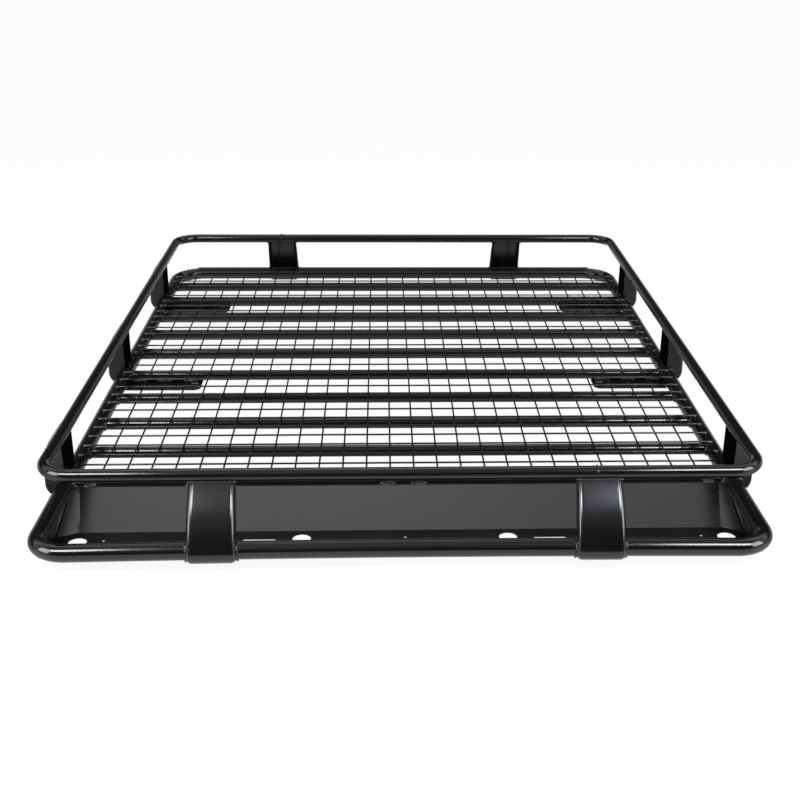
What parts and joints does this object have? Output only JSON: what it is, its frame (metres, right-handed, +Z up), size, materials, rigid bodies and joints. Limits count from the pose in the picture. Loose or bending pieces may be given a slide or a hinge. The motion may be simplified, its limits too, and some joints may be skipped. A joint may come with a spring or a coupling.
{
  "type": "roof cargo basket",
  "caption": "Welded steel roof basket: tube frame and raised rail on pressed uprights, wire mesh floor on crossbars, perforated wind deflector at the front.",
  "frame": {"origin": "middle of the basket in X and Y, at the level of the underside of the wind deflector's floor, its lowest face", "axes": "+X to the basket's right, +Y to its rear (the wind deflector is at the -Y end), +Z up"},
  "size_m": [1.465, 1.9021, 0.1831],
  "materials": {
    "black_powder_coat": "gloss"
  },
  "bodies": {
    "root": {"crossbar_2": "black_powder_coat", "crossbar_3": "black_powder_coat", "crossbar_4": "black_powder_coat", "crossbar_5": "black_powder_coat", "crossbar_6": "black_powder_coat", "crossbar_7": "black_powder_coat", "crossbar_8": "black_powder_coat", "crossbar_9": "black_powder_coat", "crossbar_front": "black_powder_coat", "crossbar_rear": "black_powder_coat", "deflector_end_plate_left": "black_powder_coat", "deflector_end_plate_right": "black_powder_coat", "deflector_tab_left": "black_powder_coat", "deflector_tab_right": "black_powder_coat", "front_upright_left": "black_powder_coat", "front_upright_right": "black_powder_coat", "lower_frame_tube_left": "black_powder_coat", "lower_frame_tube_right": "black_powder_coat", "mesh_cross_wires": "black_powder_coat", "mesh_long_wires": "black_powder_coat", "mounting_plate_left_front": "black_powder_coat", "mounting_plate_left_rear": "black_powder_coat", "mounting_plate_right_front": "black_powder_coat", "mounting_plate_right_rear": "black_powder_coat", "rear_upright_left": "black_powder_coat", "rear_upright_right": "black_powder_coat", "side_upright_left_front": "black_powder_coat", "side_upright_left_middle": "black_powder_coat", "side_upright_left_rear": "black_powder_coat", "side_upright_right_front": "black_powder_coat", "side_upright_right_middle": "black_powder_coat", "side_upright_right_rear": "black_powder_coat", "upper_rail_tube_left": "black_powder_coat", "upper_rail_tube_right": "black_powder_coat", "wind_deflector": "black_powder_coat"}
  },
  "joints": []
}
